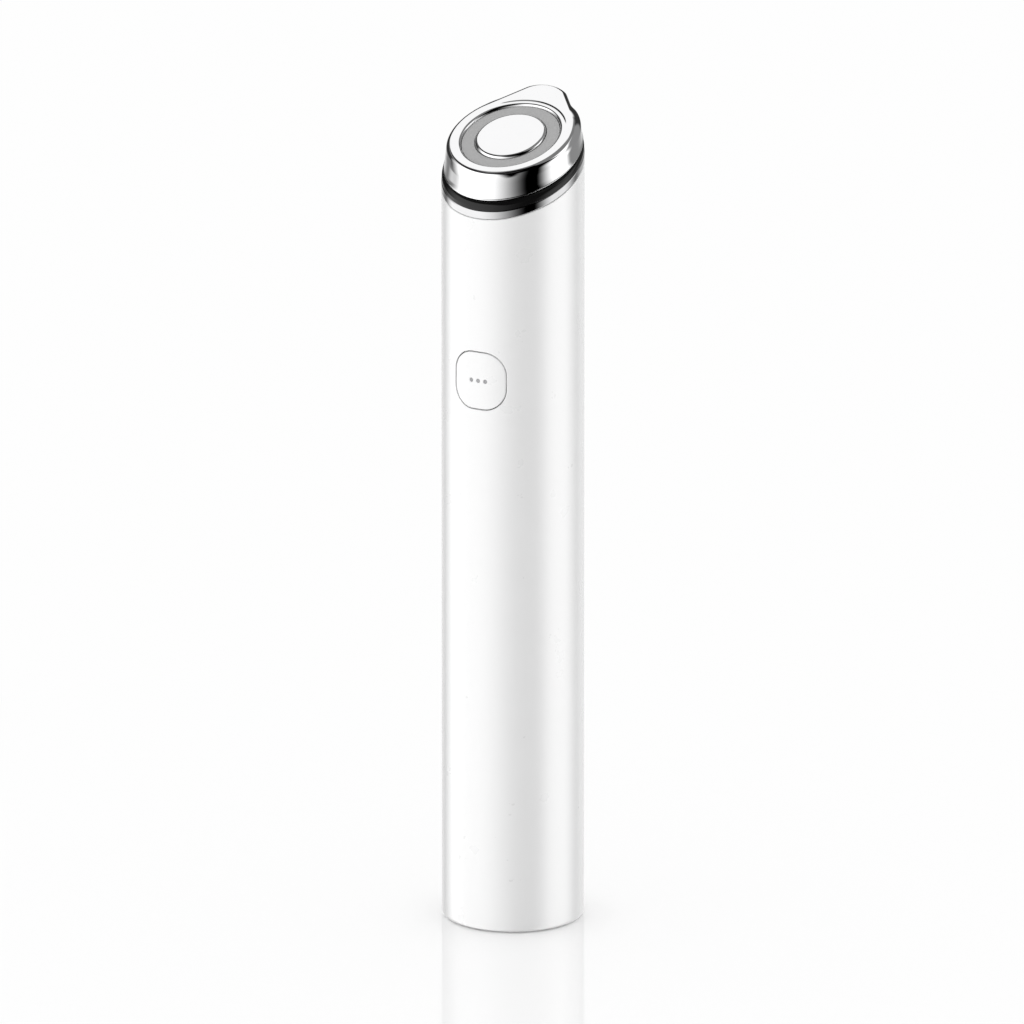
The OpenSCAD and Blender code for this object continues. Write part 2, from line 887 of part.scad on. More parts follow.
// White plug that closes the barrel's lower end
module base_cap() {
    color("white") difference() {
        translate([0, 0, pad_t]) cylinder(r = cap_r, h = cap_top - pad_t);
        translate([0, 0, cap_disc_top]) cylinder(r = cap_in_r, h = cap_top);
        linear_extrude(cap_disc_top + cut) port_outline(port_play);
        both_sides(foot_screw.x, foot_screw.y, 0) {
            cylinder(r = screw_seat[0], h = pad_t + screw_seat[1]);
            cylinder(r = screw_r + part_fit, h = cap_top);
        }
        translate([0, 0, seal_z - seal_groove[1] / 2]) difference() {
            cylinder(r = cap_r + cut, h = seal_groove[1]);
            cylinder(r = cap_r - seal_groove[0], h = seal_groove[1]);
        }
    }
}

// Round seal in the base cap's groove
module base_seal() {
    color([0.1, 0.1, 0.1]) translate([0, 0, seal_z]) rotate_extrude()
        translate([inner_r - seal_squeeze - seal_wire_r, 0]) circle(seal_wire_r, $fn = WIRE_FN);
}

// Two screws that pull the base cap and the chassis together
module base_screws() {
    color("dimgray") both_sides(foot_screw.x, foot_screw.y, pad_t + screw_seat[1])
        screw(screw_head, screw_r, base_screw_l);
}

// Grey foot pad that covers the screws, with a slot for the socket
module base_pad() {
    color("lightgray") difference() {
        cylinder(r = cap_r - pad_inset, h = pad_t);
        translate([0, 0, -cut]) linear_extrude(pad_t + 2 * cut) port_outline(port_play);
    }
}

body_tube();
collar_ring();
insulator_ring();
head_gasket();
outer_electrode();
light_ring();
centre_electrode();
electrode_bush();
light_board();
ring_leds();
contact_pins();
electrode_terminal();
electrode_nut();
electrode_leads();
chassis();
head_screws();
main_board();
board_screws();
board_chips();
boost_inductor();
indicator_leds();
switch_body();
switch_plunger();
button_cap();
indicator_windows();
battery_cell();
battery_pad();
battery_leads();
motor_can();
motor_sleeve();
motor_leads();
motor_shaft();
eccentric_weight();
charge_board();
charge_leads();
usb_shell();
usb_tongue();
base_cap();
base_seal();
base_screws();
base_pad();
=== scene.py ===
import json
import math

import bmesh
import bpy
import numpy as np
from mathutils import Matrix, Vector
from mathutils.geometry import delaunay_2d_cdt

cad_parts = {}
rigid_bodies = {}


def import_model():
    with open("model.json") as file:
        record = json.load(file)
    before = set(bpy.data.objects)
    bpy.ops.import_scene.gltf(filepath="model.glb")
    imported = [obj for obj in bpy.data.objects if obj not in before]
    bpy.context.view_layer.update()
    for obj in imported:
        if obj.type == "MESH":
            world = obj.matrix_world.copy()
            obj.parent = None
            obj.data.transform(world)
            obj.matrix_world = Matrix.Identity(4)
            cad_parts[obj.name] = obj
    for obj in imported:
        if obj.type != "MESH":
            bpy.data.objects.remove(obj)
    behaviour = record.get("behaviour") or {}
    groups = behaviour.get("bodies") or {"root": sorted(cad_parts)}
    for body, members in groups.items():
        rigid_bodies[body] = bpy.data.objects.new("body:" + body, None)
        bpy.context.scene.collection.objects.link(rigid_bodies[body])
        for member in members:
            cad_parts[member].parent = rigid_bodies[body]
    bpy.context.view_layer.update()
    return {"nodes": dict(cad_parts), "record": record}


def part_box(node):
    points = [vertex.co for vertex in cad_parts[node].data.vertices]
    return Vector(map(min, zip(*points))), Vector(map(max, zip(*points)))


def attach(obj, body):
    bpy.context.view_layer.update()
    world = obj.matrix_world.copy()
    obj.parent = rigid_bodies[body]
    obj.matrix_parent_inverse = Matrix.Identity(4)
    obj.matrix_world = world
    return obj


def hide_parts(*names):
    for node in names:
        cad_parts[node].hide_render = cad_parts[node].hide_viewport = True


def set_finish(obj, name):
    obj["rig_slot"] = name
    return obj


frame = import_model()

# Lengths are in millimetres until a mesh is made
MM = 0.001
AROUND = 256
WELD = 0.001
AXIS_R = 0.01
SUPPORT = 0.03
CORNER_STEPS = 14

# Barrel
BARREL_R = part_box("body_tube")[1].x / MM
BARREL_IN_R = BARREL_R - 1.2
BARREL_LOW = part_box("body_tube")[0].z / MM
BACK_COLUMNS = 180
FOOT_ROUND = 0.8
RIM_ROUND = 0.15
RIM_GAP = 0.09
TILT = math.radians(23.5)
SLOPE = math.tan(TILT)

# Heights of the slanted planes on the barrel's axis
RIM_H = 135.3
COLLAR_TOP = RIM_H + 1.4
BAND_TOP = COLLAR_TOP + 1.45
HEAD_LOW = BAND_TOP + 0.25
FACE_TOP = HEAD_LOW + 4.37
PLUG_LOW = RIM_H - 2.0
SPIGOT_LOW = RIM_H - 3.0

# Radii of the collar, the insulator and the head
COLLAR_BORE_R = 10.2
SPIGOT_R = BARREL_IN_R - 0.1
PLUG_R = COLLAR_BORE_R - 0.1
PLUG_BORE_R = PLUG_R - 1.5
BAND_R = BARREL_R - 0.05
BAND_ROUND = 0.8
NECK_R = 10.3
CAVITY_R = 10.4
LIP_R = BARREL_R - 0.29
WALL_LOW_R = BARREL_R - 0.39
WALL_R = BARREL_R - 0.67
WALL_BACK = 0.12
LIP_H = 0.28
LIP_ROUND = 0.11

# Face of the head, measured on the slanted plane from the ring's centre
HEAD_COLUMNS = 480
FACE_SHIFT = 1.05
EDGE_SHIFT = 0.12
FLAT_R = 10.6
TIP_R = 4.0
TIP_REACH = 14.52
FACE_SUPPORT = 0.04
ROLL_R = 1.0
ROLL_FLANK_R = 1.3
ROLL_TIP_R = 0.4
ROLL_TURN = 0.72
ROLL_GROWTH = 1.9
ROLL_BLEND = 0.2
ROLL_STEPS = 16
SHOULDER = 1.75
SHOULDER_TIP = 3.9
WALL_STEPS = 16
LOW_WALL_ROWS = (0.02, 0.35, 0.68, 1)
FRONT_FADE = 0.3
FLANK_SLACK = 0.8
EASE_COLUMNS = 30
STEP_R = 9.95
STEP_W = 0.4
STEP_DEPTH = 0.07
STEP_MIDDLE = 78
STEP_HALF = 30
STEP_FADE = 35
BEVEL_TURN = 78
BEVEL_STEPS = 12
STEP_STEPS = 10

# Depths below the face and radii of the stack in it
RING_R = 8.75
RING_SINK = 0.45
RING_LOW = RING_SINK + 1.1
PLATE_LOW = RING_LOW + 0.8
FLOOR_TOP = 3.9
FLOOR_LOW = 5.1
WINDOW_R = RING_R - 1.15
SEAT_R = RING_R + 0.08
DISC_R = RING_R - 2.38
DISC_ROUND = 0.6
DISC_T = 1.05
DISC_PLAY = 0.08
DISC_SEAT_R = DISC_R + DISC_PLAY - 0.85
DISC_NECK_R = DISC_SEAT_R - 0.1
DISC_NECK_LOW = 2.0
STUD_R = 1.5
STUD_LOW = 7.33
CUP_R = RING_R + 0.25

# Button
BUTTON_Z = 100.57
BUTTON_W = 10.2
BUTTON_H = 10.56
BUTTON_CORNER = 4.0
BUTTON_GAP = 0.2
PATCH_HALF_W = 8.0
PATCH_RINGS = (0, 0.3, 0.55, 0.75, 0.88, 0.96)
OPENING_ROUND = 0.1
CAP_ROUND = 0.12
CAP_FLAT_IN = 0.03
CAP_GRID = 0.45
HOLE_SLIVER = 0.003
CAP_BACK_R = 10.45
FLANGE_R = 11.25
FLANGE_W = 0.8
DOT_PITCH = 1.38
DOT_R = 0.36
DOT_FIT = 0.02
DOT_SINK = 0.03
DOT_DOME = 0.02
DOT_LENGTH = 0.95
DOT_POINTS = 32
POST_Z = 97.4
POST_R = 1.2
POST_TIP_Y = -9.85

# Foot
PAD_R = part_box("base_pad")[1].x / MM
PAD_T = 0.8
PAD_ROUND = 0.15
PORT_W = 8.94
PORT_T = 3.16
PORT_PLAY = 0.15
PORT_WALL = 0.3
PORT_LOW = 1.0
PORT_L = 7.35
TONGUE_HALF = (3.35, 0.35)
TONGUE_ROUND = 0.12
SEAT_HALF = (3.8, 1.15)
SEAT_T = 1.2
CONTACTS = 12
CONTACT_PITCH = 0.5
CONTACT_HALF_W = 0.14
CONTACT_PROUD = 0.02

# Camera: the photograph's angle, with the scale that it has at the target
PHOTO_PX = 1024
CAMERA_ELEVATION = math.radians(16.1)
CAMERA_AZIMUTH = math.radians(29.15)
CAMERA_DISTANCE = 3800.0
PX_PER_MM = 5.705
TARGET_Z = 73.6
AXIS_PX = 512.95
SENSOR = 36.0

# Backdrop and floor
BACKDROP = 0.99
DOME_R = 2500.0
DOME_LEVEL = 0.93
FLOOR_R = 170.0
FLOOR_COLOUR = 0.98
FLOOR_SHADE = 0.4
FLOOR_GLOSS = 0.17
FLOOR_ROUGH = 0.08
FLOOR_FADE = (60.0, 0.95 * FLOOR_R)
SHADE_NEAR = 12.6
SHADE_FAR = 22.0


def arc(cx, cy, r, start, end, steps):
    """Points of an arc, by angles in degrees, both ends included."""
    angles = np.radians(np.linspace(start, end, steps + 1))
    return [(cx + r * math.cos(a), cy + r * math.sin(a)) for a in angles]


def smooth(t):
    """0 to 1, eased at both ends."""
    return t * t * (3 - 2 * t)


def turn_matrix():
    """Turns the face's own frame (across, up the slope, out of the face) into the wand's frame."""
    c, s = math.cos(TILT), math.sin(TILT)
    return np.array([[1, 0, 0], [0, c, -s], [0, s, c]])


FACE_ORIGIN = np.array([0, -FACE_SHIFT, FACE_TOP - FACE_SHIFT * SLOPE])


def from_face(points):
    """Points in the face's frame, brought into the wand's frame."""
    return np.asarray(points) @ turn_matrix().T + FACE_ORIGIN


def to_face(points):
    """Points in the wand's frame, brought into the face's frame."""
    return (np.asarray(points) - FACE_ORIGIN) @ turn_matrix()


def make_piece(name, points, faces, body, slot, replaced=(), sharp=40):
    """A mesh object from points in millimetres, smooth but for edges over the sharp angle."""
    mesh = bpy.data.meshes.new(name)
    mesh.from_pydata([tuple(p) for p in np.asarray(points) * MM], [], faces)
    mesh.validate()
    piece = bpy.data.objects.new(name, mesh)
    bpy.context.scene.collection.objects.link(piece)
    tidy = bmesh.new()
    tidy.from_mesh(mesh)
    bmesh.ops.remove_doubles(tidy, verts=tidy.verts, dist=WELD * MM)
    bmesh.ops.delete(tidy, geom=[v for v in tidy.verts if not v.link_faces], context="VERTS")
    bmesh.ops.recalc_face_normals(tidy, faces=tidy.faces)
    tidy.to_mesh(mesh)
    tidy.free()
    mesh.shade_smooth()
    mesh.set_sharp_from_angle(angle=math.radians(sharp))
    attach(piece, body)
    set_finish(piece, slot)
    if replaced:
        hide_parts(*replaced)
    return piece


def bridge(a, b, n):
    """Quads between two closed loops of n points each, which start at a and b."""
    quads = []
    for i in range(n):
        k = (i + 1) % n
        quads.append((a + i, a + k, b + k, b + i))
    return quads


def ring_faces(rows, columns):
    """Quads of a grid of points, rows by columns, that closes both ways."""
    faces = []
    for i in range(rows):
        faces += bridge(i * columns, (i + 1) % rows * columns, columns)
    return faces


def turned(profile, around=AROUND):
    """Grid of points for a closed profile of (radius, height) turned about Z."""
    angles = np.linspace(0, 2 * math.pi, around, endpoint=False)
    grid = [[(r * math.cos(a), r * math.sin(a), z) for a in angles] for r, z in profile]
    return np.array(grid).reshape(-1, 3), ring_faces(len(profile), around)


def slanted_turned(profile, around=AROUND):
    """As turned, with every height leaned by the head's slope."""
    points, faces = turned(profile, around)
    points[:, 2] += points[:, 1] * SLOPE
    return points, faces


def rounded_corner(corner, before, after, r, steps=5):
    """Points that round the corner of a profile with radius r, with a support point on each side."""
    corner, before, after = (np.asarray(p, float) for p in (corner, before, after))
    a = (before - corner) / np.linalg.norm(before - corner)
    b = (after - corner) / np.linalg.norm(after - corner)
    half = math.acos(max(-1, min(1, float(a @ b)))) / 2
    reach = r / math.tan(half)
    centre = corner + (a + b) / np.linalg.norm(a + b) * r / math.sin(half)
    start, end = corner + a * reach, corner + b * reach
    points = [start + a * min(SUPPORT, 0.3 * r)]
    for i in range(steps + 1):
        t = i / steps
        spoke = (1 - t) * (start - centre) + t * (end - centre)
        points.append(centre + spoke / np.linalg.norm(spoke) * r)
    points.append(end + b * min(SUPPORT, 0.3 * r))
    return points


def rounded_profile(corners):
    """A closed profile from (radius, height, rounding) corners."""
    points = []
    n = len(corners)
    for i, (x, y, r) in enumerate(corners):
        if r > 0:
            points += rounded_corner((x, y), corners[i - 1][:2], corners[(i + 1) % n][:2], r)
        else:
            points.append(np.array([x, y], float))
    return points


class Outline:
    """A rectangle with round corners, as base points and outward directions, so that it can grow."""

    def __init__(self, width, height, corner, arc_steps=CORNER_STEPS, side_steps=6):
        self.corner = corner
        half_w, half_h = width / 2 - corner, height / 2 - corner
        base, out = [], []
        centres = np.array([(1, 1), (-1, 1), (-1, -1), (1, -1)]) * (half_w, half_h)
        for quarter, here in enumerate(centres):
            for i in range(arc_steps + 1):
                a = math.radians(90 * (quarter + i / arc_steps))
                base.append(tuple(here))
                out.append((math.cos(a), math.sin(a)))
            ahead = centres[(quarter + 1) % 4]
            for i in range(1, side_steps):
                base.append(tuple(here + (ahead - here) * i / side_steps))
                out.append(out[-1])
        self.base, self.out = np.array(base), np.array(out)

    def grown(self, grow=0.0):
        """Points of the outline, moved out by grow."""
        return self.base + self.out * (self.corner + grow)

    def __len__(self):
        return len(self.base)


def on_cylinder(flat, r):
    """Points (x, z) of the front view, laid on the front of an upright cylinder."""
    flat = np.asarray(flat)
    return np.column_stack([flat[:, 0], -np.sqrt(r * r - flat[:, 0] ** 2), flat[:, 1]])


# Sub-parts

def build_barrel():
    """White barrel: outer and inner wall, slanted rim, round foot edge and the button's opening."""
    outline = Outline(BUTTON_W, BUTTON_H, BUTTON_CORNER)
    hole = outline.grown()

    # A patch with square corners round the opening, each on a ray through the middle of a round corner
    mid_corner = hole[CORNER_STEPS // 2]
    half = PATCH_HALF_W * np.array([1, mid_corner[1] / mid_corner[0]])
    patch = hole / np.max(np.abs(hole) / half, axis=1)[:, None]
    patch_x, patch_z = (
        sorted({round(p[i], 6) for p in patch if abs(abs(p[1 - i]) - half[1 - i]) < 1e-6})
        for i in (0, 1))
    side = math.asin(half[0] / BARREL_R)
    front = [math.asin(x / BARREL_R) for x in patch_x]
    angles = np.array(front + list(np.linspace(side, 2 * math.pi - side, BACK_COLUMNS)[1:-1]))
    columns = len(angles)
    patch_heights = BUTTON_Z + np.array(patch_z)
    low, high = patch_heights[0], patch_heights[-1]

    def even(r, heights):
        return [(r, np.full(columns, z)) for z in heights]

    def rim(r, drop):
        """Heights of a row that far under the slanted rim."""
        return RIM_H - RIM_GAP - drop - r * np.cos(angles) * SLOPE

    # Rows of radius and heights, up the outside, over the rim and down the inside
    rows = []
    for r, z in arc(BARREL_R - FOOT_ROUND, BARREL_LOW + FOOT_ROUND, FOOT_ROUND, -90, 0, 10):
        rows += even(r, [z])
    rows += even(BARREL_R, np.linspace(BARREL_LOW + FOOT_ROUND, low, 14)[1:-1])
    patch_starts = [len(rows)]
    rows += even(BARREL_R, patch_heights)
    top = rim(BARREL_R, 2 * RIM_ROUND)
    rows += [(BARREL_R, high + (top - high) * t) for t in np.linspace(0, 1, 6)[1:]]
    for r, rise in arc(BARREL_R - RIM_ROUND, 0, RIM_ROUND, 0, 90, 4):
        rows.append((r, rim(r, RIM_ROUND) + rise))
    top = rim(BARREL_IN_R, 0)
    rows += [(BARREL_IN_R, high + (top - high) * t) for t in np.linspace(1, 0, 6)[:-1]]
    patch_starts.append(len(rows))
    rows += even(BARREL_IN_R, patch_heights[::-1])
    rows += even(BARREL_IN_R, np.linspace(low, BARREL_LOW, 8)[1:])
    points = list(np.concatenate([
        np.column_stack([r * np.sin(angles), -r * np.cos(angles), heights]) for r, heights in rows]))

    # The patch's own quads stay out, because its rings replace them
    patch_rows = {start + i for start in patch_starts for i in range(len(patch_z) - 1)}
    faces = []
    for i in range(len(rows)):
        quads = bridge(i * columns, (i + 1) % len(rows) * columns, columns)
        faces += quads[len(patch_x) - 1:] if i in patch_rows else quads

    def lay(flat, r):
        """Adds points of the front view at that radius, and returns where they start."""
        points.extend(on_cylinder(flat + [0, BUTTON_Z], r))
        return len(points) - len(flat)

    rings = [lay(patch * (1 - t) + outline.grown(OPENING_ROUND) * t, BARREL_R) for t in PATCH_RINGS]
    for a in np.radians(np.linspace(0, 90, 5)):
        grow = OPENING_ROUND * (1 - math.sin(a))
        rings.append(lay(outline.grown(grow), BARREL_R - OPENING_ROUND * (1 - math.cos(a))))
    rings.append(lay(hole, BARREL_IN_R))
    rings.append(lay(patch * [BARREL_IN_R / BARREL_R, 1], BARREL_IN_R))
    for a, b in zip(rings, rings[1:]):
        faces += bridge(a, b, len(outline))
    return make_piece("barrel_shell", points, faces, "housing", "white_gloss", ["body_tube"])


def build_collar():
    """Chrome collar with small round edges and its spigot inside the barrel."""
    profile = rounded_profile([
        (COLLAR_BORE_R, SPIGOT_LOW, 0),
        (SPIGOT_R, SPIGOT_LOW, 0.2),
        (SPIGOT_R, RIM_H, 0),
        (BARREL_R, RIM_H, 0.16),
        (BARREL_R, COLLAR_TOP, 0.18),
        (COLLAR_BORE_R, COLLAR_TOP, 0),
    ])
    return make_piece("collar_band", *slanted_turned(profile), "housing", "polished_chrome", ["collar_ring"])


def build_insulator():
    """Black insulator with its round-edged band, neck, cup floor and plug."""
    floor_top = FACE_TOP - FLOOR_TOP / math.cos(TILT)
    floor_low = FACE_TOP - FLOOR_LOW / math.cos(TILT)
    neck_top = FACE_TOP - (PLATE_LOW + 0.1) / math.cos(TILT)
    profile = rounded_profile([
        (AXIS_R, floor_low, 0),
        (PLUG_BORE_R, floor_low, 0),
        (PLUG_BORE_R, PLUG_LOW, 0),
        (PLUG_R, PLUG_LOW, 0.2),
        (PLUG_R, COLLAR_TOP, 0),
        (BAND_R, COLLAR_TOP, 0.15),
        (BAND_R, BAND_TOP, BAND_ROUND),
        (NECK_R, BAND_TOP, 0),
        (NECK_R, neck_top, 0.1),
        (CUP_R, neck_top, 0),
        (CUP_R, floor_top, 0),
        (AXIS_R, floor_top, 0),
    ])
    return make_piece("insulator_band", *slanted_turned(profile), "housing", "black_plastic",
                      ["insulator_ring"])


def face_outline(columns):
    """Outline of the flat face along rays from the barrel's axis, and its outward directions."""
    axis = to_face([[0, 0, FACE_TOP]])[0][:2]
    centre = np.array([0.0, EDGE_SHIFT])
    tip = np.array([0.0, TIP_REACH - TIP_R])
    flank_v = (FLAT_R - TIP_R) / (tip[1] - centre[1])
    flank = np.array([math.sqrt(1 - flank_v ** 2), flank_v])
    from_side = centre + FLAT_R * flank
    from_tip = tip + TIP_R * flank

    def turn_of(p):
        return math.atan2(p[1] - axis[1], abs(p[0] - axis[0]))

    edge, out = [], []
    for d in columns:
        turn = turn_of(axis + d)
        if turn_of(from_side) < turn < turn_of(from_tip):
            normal = flank * np.array([1 if d[0] >= 0 else -1, 1])
            p = axis + d * ((from_tip - axis) @ flank) / (d @ normal)
        else:
            at, r = (tip, TIP_R) if turn >= turn_of(from_tip) else (centre, FLAT_R)
            m = axis - at
            p = axis + d * (math.sqrt((m @ d) ** 2 - m @ m + r * r) - m @ d)
            normal = (p - at) / r
        edge.append(p)
        out.append(normal)
    return np.array(edge), np.array(out)


def eased(values, reach):
    """Values of neighbouring columns, averaged round the head with a soft weight."""
    shifts = range(-reach, reach + 1)
    weights = [1 + math.cos(math.pi * k / (reach + 1)) for k in shifts]
    return sum(w * np.roll(values, k) for w, k in zip(weights, shifts)) / sum(weights)


def build_head():
    """Polished head: recess with bevel and soft step, flat teardrop face, rolled edge, wall and lip."""
    around = HEAD_COLUMNS
    angles = np.linspace(0, 2 * math.pi, around, endpoint=False)
    plan = np.column_stack([np.cos(angles), np.sin(angles)])
    directions = plan * np.array([1, 1 / math.cos(TILT)])
    directions = directions / np.linalg.norm(directions, axis=1)[:, None]
    edge, out = face_outline(directions)
    spokes = edge / np.linalg.norm(edge, axis=1)[:, None]
    flat = np.zeros((around, 1))

    def circle(r, depth):
        r, depth = (np.broadcast_to(v, around) for v in (r, depth))
        return from_face(np.column_stack([spokes * r[:, None], -depth]))

    def wall(r, plane):
        r = r + WALL_BACK * plan[:, 1]
        return np.column_stack([plan * r[:, None], plane + plan[:, 1] * r * SLOPE])

    def bore(plane):
        return np.column_stack([plan * CAVITY_R, plane + plan[:, 1] * CAVITY_R * SLOPE])

    rows = [circle(WINDOW_R, RING_LOW), circle(SEAT_R, RING_LOW), circle(SEAT_R, RING_SINK)]
    side = np.degrees(np.arctan2(spokes[:, 1], spokes[:, 0])) - STEP_MIDDLE
    fade = np.clip((STEP_HALF + STEP_FADE - np.abs((side + 180) % 360 - 180)) / STEP_FADE, 0, 1)
    rows += [circle(r, depth) for r, depth in recess_profile(STEP_DEPTH * smooth(fade))]
    start = from_face(np.hstack([edge, flat]))
    out3 = np.hstack([out, flat]) @ turn_matrix().T
    rows += [start - out3 * FACE_SUPPORT, start]

    # The edge rolls round from the face's plane, then runs down into the flared wall
    lip_top = HEAD_LOW + LIP_H
    flare = (WALL_LOW_R - WALL_R) / (FACE_TOP - SHOULDER - lip_top)
    normal = turn_matrix()[:, 2]
    inset = np.sum((wall(WALL_R, FACE_TOP) - start) * out3, axis=1)
    across = np.clip(np.abs(out[:, 0]) / ROLL_TURN, 0, 1)
    beside = np.clip((1 - np.abs(out[:, 0])) / ROLL_BLEND, 0, 1)
    roll = np.where(across < 1, ROLL_TIP_R + (ROLL_FLANK_R - ROLL_TIP_R) * across ** ROLL_GROWTH,
                    ROLL_R + (ROLL_FLANK_R - ROLL_R) * smooth(beside))
    roll = np.where(out[:, 1] < 0, ROLL_R, roll)
    level = out3[:, :2] / np.linalg.norm(out3[:, :2], axis=1)[:, None]
    upright = np.arctan2(np.sum(out3[:, :2] * level, axis=1), level @ normal[:2])
    front = smooth(np.clip((FRONT_FADE - out[:, 1]) / FRONT_FADE, 0, 1))
    slack = np.clip((ROLL_R + FLANK_SLACK * (1 - front) - inset) / ROLL_R, 0, 1)
    drop = eased(SHOULDER + (SHOULDER_TIP - SHOULDER) * smooth(slack), EASE_COLUMNS)
    end = wall(WALL_R + flare * (drop - SHOULDER), FACE_TOP - drop)

    def rolled(turn):
        return start + roll[:, None] * (out3 * np.sin(turn)[:, None] - normal * (1 - np.cos(turn))[:, None])

    # The lean is where the roll stops. In front, the surface then bends one way only from there to the wall
    lean = np.arctan2(inset - roll * np.sin(upright), drop - roll * (1 - np.cos(upright)))
    chord = end - rolled(upright - lean)
    true_lean = np.arctan2(np.sum(chord[:, :2] * level, axis=1), -chord[:, 2])
    lean += (2 * true_lean - lean - math.atan(flare)) * front
    turn = upright - eased(lean, EASE_COLUMNS)
    for t in np.linspace(0, 1, ROLL_STEPS + 1)[1:]:
        rows.append(rolled(turn * t))
    turn = turn[:, None]
    near = rows[-1]
    length = np.linalg.norm(end - near, axis=1)[:, None]
    pull = (out3 * np.cos(turn) - normal * np.sin(turn)) * length
    down = np.column_stack([plan * flare, flare * plan[:, 1] * SLOPE - 1])
    down = down / np.linalg.norm(down, axis=1)[:, None] * length
    for t in np.linspace(0, 1, WALL_STEPS + 1)[1:]:
        rows.append(near * (1 - smooth(t)) + pull * t * (1 - t) ** 2
                    + end * smooth(t) - down * t * t * (1 - t))
    low = wall(WALL_LOW_R, lip_top)
    for t in LOW_WALL_ROWS:
        rows.append(end + (low - end) * t)
    lip = [(WALL_LOW_R + 0.01, lip_top - 0.03)]
    lip += arc(LIP_R - LIP_ROUND, HEAD_LOW + LIP_ROUND, LIP_ROUND, 75, -90, 10)
    for r, plane in lip + [(CAVITY_R, HEAD_LOW), (CAVITY_R, FACE_TOP - PLATE_LOW / math.cos(TILT))]:
        rows.append(wall(r, plane) if r > CAVITY_R else bore(plane))
    rows.append(circle(WINDOW_R, PLATE_LOW))
    points = np.concatenate(rows)
    faces = ring_faces(len(rows), around)
    return make_piece("head_shell", points, faces, "housing", "polished_chrome", ["outer_electrode"],
                      sharp=50)


def recess_profile(step):
    """Radii and depths of the bevel, its round upper edge and the soft step round it, which is that deep."""
    turn = math.radians(BEVEL_TURN)
    r = (RING_SINK - 0.01 - step) / (1 - math.cos(turn))
    profile = []
    for a in np.linspace(turn, 0, BEVEL_STEPS + 1):
        profile.append((SEAT_R + 0.01 + r * (math.sin(turn) - math.sin(a)), step + r * (1 - math.cos(a))))
    for t in np.linspace(0, 1, STEP_STEPS + 1):
        profile.append((STEP_R + STEP_W * (t - 0.5), step * (1 - smooth(t))))
    profile.append((STEP_R + STEP_W / 2 + 0.03, 0.0))
    return profile


def build_light_ring():
    """Frosted ring with small round edges and the centre electrode's seat."""
    profile = rounded_profile([
        (DISC_SEAT_R, -RING_LOW, 0),
        (RING_R, -RING_LOW, 0),
        (RING_R, -RING_SINK, 0.08),
        (DISC_R + DISC_PLAY, -RING_SINK, 0.05),
        (DISC_R + DISC_PLAY, -DISC_T, 0),
        (DISC_SEAT_R, -DISC_T, 0),
    ])
    points, faces = turned(profile)
    return make_piece("glow_ring", from_face(points), faces, "housing", "frosted_grey", ["light_ring"])


def build_centre_disc():
    """Polished centre electrode with a rolled edge and its stud."""
    profile = rounded_profile([
        (AXIS_R, 0, 0),
        (DISC_R, 0, DISC_ROUND),
        (DISC_R, -DISC_T, 0.05),
        (DISC_NECK_R, -DISC_T, 0),
        (DISC_NECK_R, -DISC_NECK_LOW, 0),
        (STUD_R, -DISC_NECK_LOW, 0),
        (STUD_R, -STUD_LOW, 0.2),
        (AXIS_R, -STUD_LOW, 0),
    ])
    points, faces = turned(profile)
    return make_piece("centre_disc", from_face(points), faces, "housing", "polished_chrome",
                      ["centre_electrode"])


def circle_points(centre, r, steps):
    """Points of a circle in the plane."""
    angles = [2 * math.pi * i / steps for i in range(steps)]
    return [(centre[0] + r * math.cos(a), centre[1] + r * math.sin(a)) for a in angles]


def fill_outline(loop, holes, spacing):
    """Points and triangles of the plane inside a loop and outside round holes, with even inner points."""
    points = [tuple(p) for p in loop]
    edges = [(i, (i + 1) % len(loop)) for i in range(len(loop))]
    for hole in holes:
        start = len(points)
        rim = circle_points(*hole)
        points += rim
        edges += [(start + i, start + (i + 1) % len(rim)) for i in range(len(rim))]

    def clear(p, play):
        return all(np.linalg.norm(p - np.array(centre)) > r + play for centre, r, _ in holes)

    low, high = loop.min(0), loop.max(0)
    for x in np.arange(low[0], high[0], spacing):
        for z in np.arange(low[1], high[1], spacing):
            p = np.array([x, z])
            if np.min(np.linalg.norm(loop - p, axis=1)) > 0.6 * spacing and clear(p, 0.5 * spacing):
                points.append((x, z))
    verts, _, tris, _, _, _ = delaunay_2d_cdt([Vector(p) for p in points], edges, [], 1, 1e-7)
    verts = np.array([tuple(v) for v in verts])

    # A triangle inside a hole can lie against its rim, so the test reaches almost to the rim
    return verts, [tuple(t) for t in tris if clear(verts[list(t)].mean(0), -HOLE_SLIVER)]


